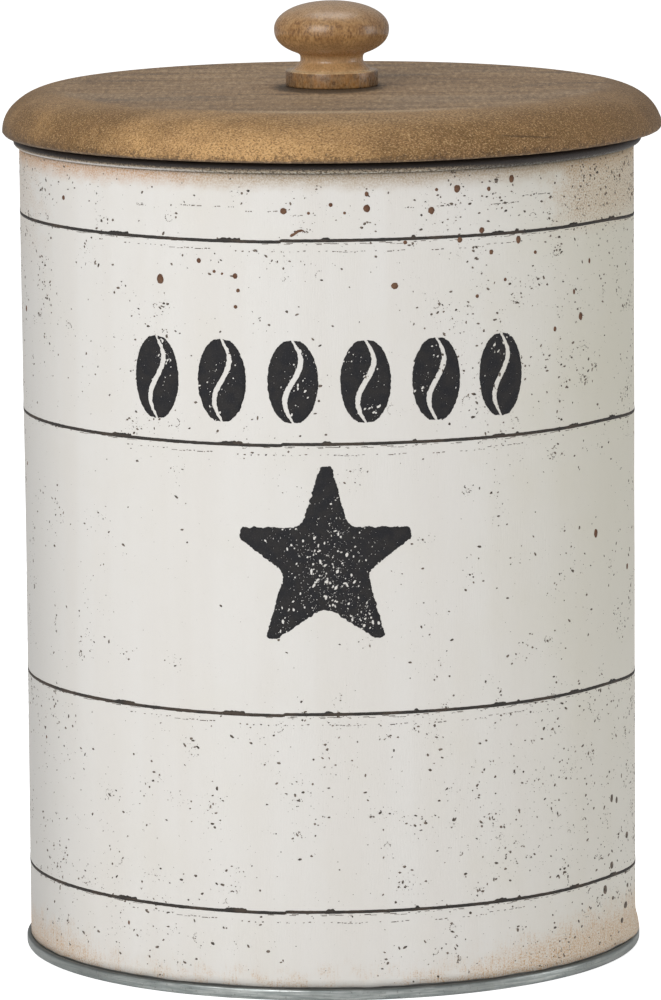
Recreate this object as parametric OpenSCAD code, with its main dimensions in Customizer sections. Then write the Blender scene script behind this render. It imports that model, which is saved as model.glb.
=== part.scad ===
// Round storage tin with a plug lid: a rolled sheet body with a curled, wired rim,
// a printed sleeve around it, a base end held by a double seam, and a turned wooden
// lid with a plug, a gasket ring and a screwed-on knob.
// Millimetres, +Z up, origin at the centre of the foot, front towards -Y.

/* [Body] */
// Outside diameter over the printed sleeve
body_d = 154; // [120:1:200]
// Height from the foot to the top of the curled rim
body_h = 206.1; // [150:0.1:260]
// Thickness of the body and base sheet
sheet_t = 0.4; // [0.3:0.05:0.4]
// Width of the lap seam up the back
lap_w = 5; // [3:0.5:8]

/* [Printed sleeve] */
// Thickness of the sleeve
sleeve_t = 0.15; // [0.1:0.05:0.3]
// Bare gap below the curled rim
sleeve_top_gap = 0.6; // [0.2:0.1:3]
// Bare strip left at the back for the lap seam
sleeve_back_gap = 8; // [6:1:20]

/* [Rim] */
// Width of the curled rim, across the wall
curl_w = 2.4; // [2.2:0.1:3]
// Height of the curled rim
curl_h = 3; // [2.6:0.1:4]

/* [Base] */
// Height of the double seam that forms the foot
seam_h = 2.9; // [2.6:0.1:4]
// Depth of the base panel above the foot
panel_depth = 3.2; // [3.1:0.1:6]
// Diameter of the raised ring in the base panel
panel_ring_d = 104; // [60:1:130]
// Height of the raised ring
panel_ring_h = 0.8; // [0.4:0.1:2]

/* [Lid] */
// Diameter of the lid panel
lid_d = 165.8; // [164:0.2:190]
// Thickness of the lid panel
lid_t = 11.3; // [8:0.1:20]
// Diameter of the flat middle of the lid's top
lid_flat_d = 138; // [80:1:150]
// Gap between the rim and the lid panel
lid_gap = 0.5; // [0.3:0.1:2]
// Diameter of the plug under the lid
plug_d = 147; // [130:0.5:148]
// Depth of the plug
plug_h = 12; // [10:0.5:25]

/* [Gasket] */
// Clearance round the gasket, to the mouth and to its groove
gasket_gap = 0.35; // [0.3:0.05:1]
// Height of the groove in the plug
groove_h = 4; // [3:0.1:6]
// Depth of the groove in the plug
groove_depth = 2.5; // [1.5:0.1:4]

/* [Knob] */
// Diameter of the ball
knob_d = 28.9; // [24:0.1:40]
// Height of the flattened ball
knob_ball_h = 14.1; // [10:0.1:24]
// Height of the whole knob above the lid
knob_h = 21.3; // [20:0.1:30]
// Diameter of the ring at the knob's foot
knob_ring_d = 23.3; // [20:0.1:30]
// Height of the ring at the knob's foot
knob_ring_h = 4.1; // [3:0.1:6]
// Diameter of the collar above the ring
knob_collar_d = 19.6; // [18:0.1:24]
// Diameter of the neck
knob_neck_d = 16.1; // [12:0.1:20]

/* [Screw] */
// Shank diameter of the knob's screw
screw_d = 4; // [3:0.5:5]
// Length of the screw under its head
screw_l = 32; // [28:1:34]
// Clearance hole in the plug, the lid panel and the washer
screw_hole_d = 4.4; // [4.4:0.1:5.5]
// Diameter of the washer under the screw's head
washer_d = 11; // [9:0.5:14]

/* [Hidden] */
$fn = 128;
arc_steps = 10;

wall_out = body_d / 2 - sleeve_t;
wall_in = wall_out - sheet_t;

// Double seam, from the axis outwards: chuck wall, body wall, cover hook, body hook, seaming wall
chuck_in = wall_in - sheet_t;
hook_out = wall_out + sheet_t;
body_hook_out = hook_out + sheet_t;
seam_out = body_hook_out + sheet_t;
foot_round = 0.6;
seam_round = 0.4;
hook_gap = 0.4;

// Centres of the two half rounds of the curl's section
curl_ro = curl_w / 2;
curl_ri = curl_ro - sheet_t;
curl_x = wall_in + curl_ro;
curl_hi = body_h - curl_ro;
curl_lo = body_h - curl_h + curl_ro;

panel_z = panel_depth + sheet_t;
panel_slope = 1.6;
panel_ring_w = 12;

lid_z = body_h + lid_gap;
lid_top = lid_z + lid_t;
lid_r = lid_d / 2;
lid_lip_in = 0.5;
lid_lip_h = 0.6;

plug_r = plug_d / 2;
plug_z = lid_z - plug_h;
plug_chamfer = 1.2;
groove_z = lid_z - 7.6;
counterbore_h = 4;
counterbore_d = washer_d + 1;

gasket_out = wall_in - gasket_gap;
gasket_in = plug_r - groove_depth + gasket_gap;
gasket_z = groove_z + gasket_gap;
gasket_h = groove_h - 2 * gasket_gap;
gasket_lip = 1.3;

washer_t = 1;
head_h = 2.2;
head_d = 8;
head_z = plug_z + counterbore_h - washer_t;
slot_w = 0.9;
slot_l = 4.4;
slot_depth = 1.1;
tip_l = 3;
knob_bore_h = screw_l - (lid_top - head_z) + 1;

ball_z = knob_h - knob_ball_h / 2;
collar_top = knob_ring_h + 1.5;
neck_z = 7.3;

// Points of an elliptical arc about c, from angle a0 to a1
function arc(c, rx, ry, a0, a1, n = arc_steps) =
    [for (i = [0 : n]) let (a = a0 + (a1 - a0) * i / n) [c[0] + rx * cos(a), c[1] + ry * sin(a)]];

// Section of the curled rim, or of the space inside it
module curl_section(r) {
    translate([curl_x, curl_hi]) circle(r);
    translate([curl_x, curl_lo]) circle(r);
    translate([curl_x - r, curl_lo]) square([2 * r, curl_hi - curl_lo]);
}

// Body wall with the hook that the base end's seam grips
module wall_section() {
    polygon([
        [wall_in, sheet_t], [body_hook_out, sheet_t], [body_hook_out, seam_h - sheet_t - hook_gap],
        [hook_out, seam_h - sheet_t - hook_gap], [hook_out, 2 * sheet_t], [wall_out, 2 * sheet_t],
        [wall_out, curl_hi], [wall_in, curl_hi]
    ]);
}

// The raw edge of the curl stops short of the wall
module curl_slit() {
    translate([wall_out, curl_lo - curl_ro - 1]) square([sheet_t, curl_ro + 1]);
}

module lap_seam() {
    lap_z = seam_h;
    intersection() {
        translate([0, 0, lap_z]) difference() {
            cylinder(r = wall_out + sheet_t, h = body_h - curl_h - lap_z);
            translate([0, 0, -1]) cylinder(r = wall_out, h = body_h);
        }
        translate([-lap_w / 2, wall_in - 5, 0]) cube([lap_w, 10, body_h]);
    }
}

module shell() {
    color("silver") {
        rotate_extrude() {
            wall_section();
            difference() {
                curl_section(curl_ro);
                curl_section(curl_ri);
                curl_slit();
            }
        }
        lap_seam();
    }
}

module printed_sleeve() {
    sleeve_h = body_h - curl_h - sleeve_top_gap - seam_h;
    color("ivory") translate([0, 0, seam_h]) difference() {
        cylinder(r = wall_out + sleeve_t, h = sleeve_h);
        translate([0, 0, -1]) cylinder(r = wall_out, h = sleeve_h + 2);
        translate([-sleeve_back_gap / 2, wall_in - 10, -1]) cube([sleeve_back_gap, 20, sleeve_h + 2]);
    }
}

module rim_wire() {
    color("dimgray") rotate_extrude() translate([curl_x, curl_hi]) circle(curl_ri);
}

module base_end() {
    ring_in = panel_ring_d / 2 - panel_ring_w / 2;
    ring_out = panel_ring_d / 2 + panel_ring_w / 2;
    // Height of the panel's underside along its radius
    panel_line = [
        [0, 0], [ring_in - panel_slope, 0], [ring_in, panel_ring_h], [ring_out, panel_ring_h],
        [ring_out + panel_slope, 0]
    ];
    underside = [for (p = panel_line) [p[0], p[1] + panel_depth]];
    topside = [for (i = [len(panel_line) - 1 : -1 : 0]) [panel_line[i][0], panel_line[i][1] + panel_z]];
    color("darkgray") rotate_extrude() polygon(concat(
        underside,
        arc([chuck_in - foot_round, panel_depth - foot_round], foot_round, foot_round, 90, 0, 5),
        arc([chuck_in + foot_round, foot_round], foot_round, foot_round, 180, 270, 5),
        arc([seam_out - foot_round, foot_round], foot_round, foot_round, 270, 360, 5),
        arc([seam_out - seam_round, seam_h - seam_round], seam_round, seam_round, 0, 90, 4),
        [[wall_out, seam_h], [wall_out, 2 * sheet_t + hook_gap], [hook_out, 2 * sheet_t + hook_gap],
         [hook_out, seam_h - sheet_t], [body_hook_out, seam_h - sheet_t], [body_hook_out, sheet_t],
         [wall_in, sheet_t], [wall_in, panel_z]],
        topside
    ));
}

module lid_panel() {
    color("peru") difference() {
        rotate_extrude() polygon(concat(
            [[0, lid_z], [lid_r - lid_lip_in, lid_z]],
            arc([lid_flat_d / 2, lid_z + lid_lip_h], lid_r - lid_flat_d / 2, lid_t - lid_lip_h, 0, 90),
            [[0, lid_top]]
        ));
        translate([0, 0, lid_z - 1]) cylinder(d = screw_hole_d, h = lid_t + 2);
    }
}

module lid_plug() {
    color("burlywood") difference() {
        rotate_extrude() polygon([
            [0, plug_z], [plug_r - plug_chamfer, plug_z], [plug_r, plug_z + plug_chamfer],
            [plug_r, groove_z], [plug_r - groove_depth, groove_z],
            [plug_r - groove_depth, groove_z + groove_h], [plug_r, groove_z + groove_h],
            [plug_r, lid_z], [0, lid_z]
        ]);
        translate([0, 0, plug_z - 1]) cylinder(d = screw_hole_d, h = plug_h + 2);
        translate([0, 0, plug_z - 1]) cylinder(d = counterbore_d, h = counterbore_h + 1);
    }
}

// A ring with two outward lips
module lid_gasket() {
    third = gasket_h / 3;
    color("whitesmoke") rotate_extrude() polygon([
        [gasket_in, gasket_z], [gasket_out - gasket_lip, gasket_z],
        [gasket_out, gasket_z + third / 2], [gasket_out, gasket_z + third],
        [gasket_out - gasket_lip, gasket_z + 1.4 * third], [gasket_out - gasket_lip, gasket_z + 1.6 * third],
        [gasket_out, gasket_z + 2 * third], [gasket_out, gasket_z + 2.5 * third],
        [gasket_out - gasket_lip, gasket_z + gasket_h], [gasket_in, gasket_z + gasket_h]
    ]);
}

module knob() {
    ball_rx = knob_d / 2;
    ball_ry = knob_ball_h / 2;
    neck_r = knob_neck_d / 2;
    collar_r = knob_collar_d / 2;
    ring_r = knob_ring_d / 2;
    ring_round = 0.7;
    // Angle on the ball at which the neck meets it
    neck_angle = -acos((neck_r + 0.6) / ball_rx);
    color("sienna") translate([0, 0, lid_top]) difference() {
        rotate_extrude() polygon(concat(
            [[0, 0]],
            [[ring_r - 0.3, 0], [ring_r, 0.3]],
            arc([ring_r - ring_round, knob_ring_h - ring_round], ring_round, ring_round, 0, 90, 4),
            [[collar_r + 0.3, knob_ring_h], [collar_r, knob_ring_h + 0.3]],
            arc([collar_r - 0.3, collar_top - 0.3], 0.3, 0.3, 0, 90, 3),
            arc([collar_r - 0.3, neck_z], collar_r - 0.3 - neck_r, neck_z - collar_top, 270, 180, 6),
            arc([0, ball_z], ball_rx, ball_ry, neck_angle, 90, 24)
        ));
        translate([0, 0, -1]) cylinder(d = screw_d, h = knob_bore_h + 1);
    }
}

module knob_screw() {
    shank_r = screw_d / 2;
    head_r = head_d / 2;
    color("silver") translate([0, 0, head_z]) difference() {
        union() {
            cylinder(r = shank_r, h = screw_l - tip_l);
            translate([0, 0, screw_l - tip_l]) cylinder(r1 = shank_r, r2 = 0.3, h = tip_l);
            rotate_extrude() polygon(concat(
                [[0, 0], [0, -head_h]],
                arc([head_r - 1, -head_h + 1], 1, 1, 270, 360, 5),
                [[head_r, 0]]
            ));
        }
        for (turn = [0, 90])
            rotate([0, 0, turn]) translate([-slot_l / 2, -slot_w / 2, -head_h - 1])
                cube([slot_l, slot_w, slot_depth + 1]);
    }
}

module knob_washer() {
    color("gainsboro") translate([0, 0, head_z]) difference() {
        cylinder(d = washer_d, h = washer_t);
        translate([0, 0, -1]) cylinder(d = screw_hole_d, h = washer_t + 2);
    }
}

shell();
printed_sleeve();
rim_wire();
base_end();
lid_panel();
lid_plug();
lid_gasket();
knob();
knob_screw();
knob_washer();
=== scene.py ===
"""Round coffee tin: printed sleeve on a rolled sheet body, curled rim, zinc base end and a weathered
wooden plug lid with a turned knob. Metres, +Z up, front towards -Y, as the CAD frame."""
import math
import random

import bmesh
import bpy
from mathutils import Matrix, Quaternion, Vector, geometry, noise


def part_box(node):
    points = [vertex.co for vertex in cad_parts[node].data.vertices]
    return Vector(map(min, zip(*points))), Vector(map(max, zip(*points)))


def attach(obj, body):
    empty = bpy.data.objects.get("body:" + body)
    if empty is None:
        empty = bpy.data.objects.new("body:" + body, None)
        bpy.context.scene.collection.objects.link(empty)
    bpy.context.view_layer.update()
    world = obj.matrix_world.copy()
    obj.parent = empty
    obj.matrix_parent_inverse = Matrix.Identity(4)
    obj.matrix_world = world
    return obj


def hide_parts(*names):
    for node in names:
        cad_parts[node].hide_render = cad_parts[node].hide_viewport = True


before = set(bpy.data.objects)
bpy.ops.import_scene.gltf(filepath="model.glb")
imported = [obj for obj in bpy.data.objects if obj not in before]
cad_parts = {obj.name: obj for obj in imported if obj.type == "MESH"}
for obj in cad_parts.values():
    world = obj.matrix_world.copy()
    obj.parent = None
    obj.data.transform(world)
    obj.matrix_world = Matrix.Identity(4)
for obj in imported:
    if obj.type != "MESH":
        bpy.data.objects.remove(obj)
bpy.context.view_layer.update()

MM = 0.001
TURN = 2 * math.pi

# ---- places, from the CAD frame

SLEEVE_LO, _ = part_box("printed_sleeve")
_, SHELL_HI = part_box("shell")
BASE_LO, BASE_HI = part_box("base_end")
PANEL_LO, PANEL_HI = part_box("lid_panel")
PLUG_LO, PLUG_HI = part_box("lid_plug")
GASKET_LO, GASKET_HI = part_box("lid_gasket")
KNOB_LO, KNOB_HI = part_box("knob")

WALL_R = -SLEEVE_LO.y  # outside of the sleeve
SHEET = 0.4 * MM  # thickness of the body's and the base end's sheet
SLEEVE_T = 0.15 * MM
SHELL_OUT = WALL_R - SLEEVE_T
SHELL_IN = SHELL_OUT - SHEET
RIM_R = SHELL_HI.x
RIM_TOP = SHELL_HI.z
SEAM_R = BASE_HI.x
PANEL_R = PANEL_HI.x
CURL_H = 2.45 * MM  # height of the curled rim
LAP_W = 5 * MM  # width of the lap seam up the back
LID_SHIFT = 1.25 * MM  # the board and knob sit a little to the right of the tin's axis
DEGREE = math.radians(1) * WALL_R / MM  # one degree round the wall, in millimetres
INK_SINK = -0.03 * MM  # how far ink reaches into the sleeve, so that no gap shows under it

# ---- smooth random shapes


def ripple(x, y, z, size, seed):
    """Smooth noise from -1 to 1 at a point, with features of about that size."""
    return noise.noise(Vector((x / size + seed * 17.3, y / size - seed * 5.1, z / size + seed * 9.7)))


def step(value, lo, hi):
    """0 below lo, 1 above hi, smooth between. Falls instead where lo is above hi."""
    t = min(1.0, max(0.0, (value - lo) / (hi - lo)))
    return t * t * (3 - 2 * t)


def arc(centre, radii, start, end, count):
    """Points of an elliptical arc, with its angles in degrees."""
    angles = [math.radians(start + (end - start) * i / count) for i in range(count + 1)]
    return [(centre[0] + radii[0] * math.cos(a), centre[1] + radii[1] * math.sin(a)) for a in angles]


def densify(points, longest, closed=False):
    """The same outline with no side longer than longest."""
    out = []
    ends = points[1:] + points[:1] if closed else points[1:]
    for (x0, y0), (x1, y1) in zip(points, ends):
        parts = max(1, math.ceil(math.hypot(x1 - x0, y1 - y0) / longest))
        out += [(x0 + (x1 - x0) * i / parts, y0 + (y1 - y0) * i / parts) for i in range(parts)]
    return out if closed else out + [points[-1]]


# ---- meshes


def link(name, mesh, material, body):
    """Puts a mesh in the scene as a smooth piece that rides on a body."""
    piece = bpy.data.objects.new(name, mesh)
    bpy.context.scene.collection.objects.link(piece)
    mesh.materials.append(material)
    mesh.polygons.foreach_set("use_smooth", [True] * len(mesh.polygons))
    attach(piece, body)
    return piece


def lathe(name, profile, count, shape, extra=()):
    """Mesh of a closed (radius, height) profile turned about the Z axis, with extra angles where detail
    needs them. shape(r, angle, z) places each point. A profile point on the axis becomes one vertex."""
    angles = sorted([TURN * k / count for k in range(count)] + list(extra))
    count = len(angles)
    verts, rings = [], []
    for r, z in profile:
        ring = []
        for a in angles[:1] if r < 1e-9 else angles:
            ring.append(len(verts))
            verts.append(shape(r, a, z))
        rings.append(ring)
    faces = []
    for ring, above in zip(rings, rings[1:] + rings[:1]):
        if len(ring) == 1 and len(above) == 1:
            continue
        for k in range(count):
            n = (k + 1) % count
            quad = [ring[k % len(ring)], ring[n % len(ring)], above[n % len(above)], above[k % len(above)]]
            faces.append(list(dict.fromkeys(quad)))
    return closed_mesh(name, verts, faces)


def closed_mesh(name, verts, faces):
    """A mesh of these faces, each turned to point outwards, without vertices that no face uses."""
    mesh = bpy.data.meshes.new(name)
    mesh.from_pydata(verts, [], faces)
    work = bmesh.new()
    work.from_mesh(mesh)
    bmesh.ops.delete(work, geom=[v for v in work.verts if not v.link_faces], context="VERTS")
    bmesh.ops.recalc_face_normals(work, faces=work.faces)
    work.to_mesh(mesh)
    work.free()
    mesh.update()
    return mesh


def polar(r, angle, z):
    """The point at that radius and height. Angle 0 is the front and grows to the right."""
    return r * math.sin(angle), -r * math.cos(angle), z


# ---- material graphs


class Graph:
    """Builds one material's nodes. An input is a number, a colour, a vector or another node's output."""

    def __init__(self, name):
        self.material = bpy.data.materials.new(name)
        self.material.use_nodes = True
        self.tree = self.material.node_tree
        self.shader = self.tree.nodes["Principled BSDF"]
        self.here = self.node("ShaderNodeTexCoord").outputs["Object"]

    def node(self, kind, inputs=(), **settings):
        made = self.tree.nodes.new(kind)
        for key, value in settings.items():
            setattr(made, key, value)
        for key, value in dict(inputs).items():
            self.put(made.inputs[key], value)
        return made

    def put(self, socket, value):
        if isinstance(value, bpy.types.NodeSocket):
            self.tree.links.new(value, socket)
        elif socket.type == "RGBA" and len(value) == 3:
            socket.default_value = (*value, 1)
        else:
            socket.default_value = value

    def math(self, operation, *values, clamp=False):
        made = self.node("ShaderNodeMath", enumerate(values), operation=operation, use_clamp=clamp)
        return made.outputs[0]

    def add(self, a, b):
        return self.math("ADD", a, b)

    def sub(self, a, b):
        return self.math("SUBTRACT", a, b)

    def mul(self, a, b):
        return self.math("MULTIPLY", a, b)

    def most(self, a, b):
        return self.math("MAXIMUM", a, b)

    def least(self, a, b):
        return self.math("MINIMUM", a, b)

    def split(self, vector):
        return self.node("ShaderNodeSeparateXYZ", {0: vector}).outputs

    def join(self, x, y, z=0.0):
        return self.node("ShaderNodeCombineXYZ", {0: x, 1: y, 2: z}).outputs[0]

    def length(self, x, y):
        return self.math("POWER", self.add(self.mul(x, x), self.mul(y, y)), 0.5)

    def stretch(self, at, factors, shift=(0, 0, 0)):
        inputs = {0: at, 1: factors, 2: shift}
        return self.node("ShaderNodeVectorMath", inputs, operation="MULTIPLY_ADD").outputs[0]

    def noise(self, at, scale, detail, rough=0.5):
        inputs = {"Vector": at, "Scale": scale, "Detail": detail, "Roughness": rough}
        return self.node("ShaderNodeTexNoise", inputs).outputs["Fac"]

    def grain(self, at, factors, detail, rough=0.5, shift=(0, 0, 0)):
        """Noise that is drawn out, with a scale for each axis."""
        return self.noise(self.stretch(at, factors, shift), 1.0, detail, rough)

    def fade(self, value, lo, hi):
        """Smooth step from 0 at lo to 1 at hi, or down where lo is above hi."""
        low, high, a, b = (lo, hi, 0.0, 1.0) if lo < hi else (hi, lo, 1.0, 0.0)
        inputs = {"Value": value, "From Min": low, "From Max": high, "To Min": a, "To Max": b}
        return self.node("ShaderNodeMapRange", inputs, interpolation_type="SMOOTHSTEP").outputs[0]

    def ramp(self, value, lo, hi, a, b):
        """From a at lo to b at hi in a straight line, and level beyond them."""
        inputs = {"Value": value, "From Min": lo, "From Max": hi, "To Min": a, "To Max": b}
        return self.node("ShaderNodeMapRange", inputs).outputs[0]

    def mix(self, amount, a, b):
        return self.node("ShaderNodeMix", {0: amount, 6: a, 7: b}, data_type="RGBA").outputs[2]

    def tint(self, base, colour, amount, *factors):
        """The base mixed with a colour, by the product of the amount and the factors."""
        for factor in factors:
            amount = self.mul(amount, factor)
        return self.mix(amount, base, colour)

    def spots(self, at, cell, smallest, largest, share):
        """Mask of soft round spots: one in each cell with a chance of share, of random radius."""
        inputs = {"Vector": at, "Scale": 1 / cell, "Randomness": 1.0}
        cells = self.node("ShaderNodeTexVoronoi", inputs)
        chance = self.split(cells.outputs["Color"])
        radius = self.ramp(chance[0], 0.0, 1.0, smallest / cell, largest / cell)
        depth = self.sub(radius, cells.outputs["Distance"])
        within = self.math("DIVIDE", depth, self.mul(radius, 0.3), clamp=True)
        return self.mul(within, self.math("LESS_THAN", chance[1], share))

    def bump(self, height, distance):
        inputs = {"Height": height, "Distance": distance}
        self.put(self.shader.inputs["Normal"], self.node("ShaderNodeBump", inputs).outputs[0])

    def finish(self, **sockets):
        for name, value in sockets.items():
            self.put(self.shader.inputs[name.replace("_", " ")], value)
        return self.material

    def bearing(self, x, y):
        """The angle from the front in radians, growing to the right."""
        return self.math("ARCTAN2", x, self.mul(y, -1.0))

    def wall_place(self):
        """The place on the unrolled wall and its two parts, in millimetres, and the angle in degrees."""
        x, y, z = self.split(self.here)
        angle = self.bearing(x, y)
        across, height = self.mul(angle, WALL_R / MM), self.mul(z, 1 / MM)
        return self.join(across, height), across, height, self.mul(angle, 180 / math.pi)


# ---- materials


def sleeve_paper():
    """Printed warm white, dirtier under the rim and above the foot, yellower and more worn on the right,
    with painted shade on the left and along the top edge under the curl.
    """
    g = Graph("sleeve_paper")
    flat, _, height, angle = g.wall_place()
    speckle = g.noise(flat, 2.2, 4, 0.75)
    clouds = g.noise(flat, 0.05, 3)
    patches = g.noise(g.stretch(flat, (1, 1, 1), (40, 7, 0)), 0.22, 3, 0.6)
    bands = g.grain(flat, (0.09, 0.004, 1), 2)
    threads = g.grain(flat, (2.2, 0.22, 1), 3, 0.6)
    rows = g.grain(flat, (0.3, 1.8, 1), 3, 0.6)

    white = g.mix(g.fade(bands, 0.35, 0.65), (0.782, 0.755, 0.712), (0.803, 0.783, 0.747))
    white = g.tint(white, (0.77, 0.74, 0.675), g.fade(clouds, 0.45, 0.75), 0.4)
    yellowing = g.fade(g.add(angle, g.ramp(clouds, 0, 1, -12, 12)), 14, 68)
    front = g.ramp(g.fade(g.math("ABSOLUTE", angle), 158, 100), 0, 1, 0.3, 1)
    yellowing = g.mul(g.mul(yellowing, front), g.ramp(height, 20, 150, 0.42, 0.9))
    white = g.mix(yellowing, white, (0.7, 0.672, 0.56))
    # Greyer left side, more so low down: painted shade.
    painted_shade_left = g.mul(g.fade(angle, -46, -78), g.ramp(height, 20, 200, 0.9, 0.45))
    white = g.tint(white, (0.61, 0.595, 0.565), painted_shade_left, front)

    wander = g.ramp(patches, 0.3, 0.7, -1, 1)
    grain = g.fade(speckle, 0.4, 0.6)
    streaks = g.ramp(threads, 0.35, 0.65, 0.6, 1)
    under_rim = g.math("POWER", g.fade(g.add(height, g.mul(wander, 0.9)), 198, 203.2), 1.15)
    tan = g.mul(under_rim, g.ramp(g.add(g.mul(grain, 0.7), g.mul(rows, 0.6)), 0.2, 1.1, 0.35, 1.08))
    left = g.fade(angle, -8, -40)
    colour = g.tint(white, g.mix(left, (0.44, 0.32, 0.195), (0.53, 0.285, 0.13)), tan, 0.95)

    right_top = g.mul(g.fade(g.add(angle, g.mul(wander, 4)), 42, 54), g.fade(height, 183, 192))
    left_top = g.mul(g.fade(g.add(angle, g.mul(wander, 6)), -62, -74), g.fade(height, 165, 200))
    foxed = g.mul(g.most(right_top, g.mul(left_top, 0.45)), g.ramp(grain, 0, 1, 0.05, 1.15))
    colour = g.tint(colour, (0.57, 0.39, 0.225), foxed, 0.72)
    specks = g.mul(g.fade(speckle, 0.57, 0.62), g.most(right_top, g.mul(left_top, 0.5)))
    colour = g.tint(colour, (0.16, 0.11, 0.07), specks, 0.85)

    reach = g.add(g.mul(g.fade(angle, 10, 60), 9), g.mul(g.fade(angle, -40, -62), 5))
    level = g.sub(height, g.add(reach, g.add(g.mul(wander, 2.2), g.ramp(threads, 0.3, 0.7, -1.6, 1.6))))
    low = g.math("POWER", g.fade(level, 10.5, -2), 1.3)
    low = g.mul(low, g.fade(g.add(g.mul(reach, 0.05), patches), 0.3, 0.62))
    dirt = g.mul(low, g.ramp(grain, 0, 1, 0.12, 1.15))
    dirt = g.mul(dirt, g.ramp(streaks, 0.6, 1, 0.45, 1.1))
    colour = g.mix(dirt, colour, (0.63, 0.4, 0.205))
    grit = g.mul(g.fade(speckle, 0.585, 0.65), g.mul(low, 0.8))
    colour = g.mix(grit, colour, (0.24, 0.15, 0.09))

    # Darker top edge of the sleeve, tucked under the curl: painted shade, broken up by speckle.
    edge = g.fade(g.add(height, g.mul(g.sub(speckle, 0.5), 1.2)), 203.2, 203.6)
    colour = g.tint(colour, (0.22, 0.19, 0.15), edge, 0.7)
    dust = g.spots(flat, 1.3, 0.06, 0.17, 0.35)
    dusty = g.fade(g.add(patches, g.ramp(angle, 0, 90, 0, 0.1)), 0.5, 0.6)
    colour = g.tint(colour, (0.2, 0.17, 0.14), dust, dusty, 0.6)
    haze = g.mul(g.fade(speckle, 0.57, 0.7), g.most(g.fade(patches, 0.5, 0.64), g.fade(angle, -54, -72)))
    colour = g.tint(colour, (0.36, 0.31, 0.25), haze, 0.34)
    colour = g.mix(g.ramp(speckle, 0.3, 0.7, 0.1, 0), colour, (0.62, 0.59, 0.54))

    g.bump(g.add(g.mul(speckle, 0.4), g.add(threads, g.mul(clouds, 4))), 0.00005)
    rough = g.ramp(g.most(tan, dirt), 0, 0.6, 0.55, 0.8)
    return g.finish(Base_Color=colour, Roughness=rough, Specular_IOR_Level=0.35)


def printed_ink():
    """Worn charcoal ink with a fine mottle and a few rubbed grains."""
    g = Graph("printed_ink")
    flat, *_ = g.wall_place()
    mottle = g.noise(flat, 0.35, 3)
    grain = g.noise(flat, 3, 4, 0.7)
    black = g.mix(g.fade(mottle, 0.35, 0.65), (0.018, 0.018, 0.021), (0.027, 0.025, 0.025))
    colour = g.tint(black, (0.1, 0.098, 0.1), g.fade(grain, 0.56, 0.68), 0.5)
    g.bump(grain, 0.00006)
    return g.finish(Base_Color=colour, Roughness=0.72, Specular_IOR_Level=0.25)


def line_ink():
    """The lines' ink: charcoal rubbed to brown in places."""
    g = Graph("line_ink")
    flat, *_ = g.wall_place()
    grain = g.noise(flat, 2.2, 4, 0.7)
    rubbed = g.grain(flat, (0.16, 0.6, 1), 2)
    colour = g.mix(g.fade(rubbed, 0.42, 0.66), (0.04, 0.036, 0.033), (0.072, 0.055, 0.043))
    colour = g.tint(colour, (0.22, 0.19, 0.16), g.fade(grain, 0.58, 0.7), 0.5)
    g.bump(grain, 0.00006)
    return g.finish(Base_Color=colour, Roughness=0.7, Specular_IOR_Level=0.25)


def fleck_ink():
    """Stray ink and dirt, black to grey-brown from fleck to fleck."""
    g = Graph("fleck_ink")
    flat, *_ = g.wall_place()
    kind = g.noise(flat, 0.9, 2, 0.7)
    grain = g.noise(flat, 4, 2)
    colour = g.mix(g.fade(kind, 0.38, 0.62), (0.06, 0.052, 0.044), (0.24, 0.193, 0.153))
    colour = g.tint(colour, (0.12, 0.096, 0.076), grain, 0.3)
    g.bump(grain, 0.00005)
    return g.finish(Base_Color=colour, Roughness=0.75, Specular_IOR_Level=0.25)


def rust_spot():
    """Rust-brown drops, redder towards some of their edges."""
    g = Graph("rust_spot")
    flat, *_ = g.wall_place()
    kind = g.noise(flat, 0.35, 2)
    grain = g.noise(flat, 2.5, 3, 0.6)
    colour = g.mix(g.fade(kind, 0.35, 0.65), (0.155, 0.072, 0.042), (0.2, 0.108, 0.064))
    colour = g.tint(colour, (0.115, 0.068, 0.048), g.fade(grain, 0.45, 0.65), 0.5)
    g.bump(grain, 0.0001)
    return g.finish(Base_Color=colour, Roughness=0.8, Specular_IOR_Level=0.25)


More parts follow.
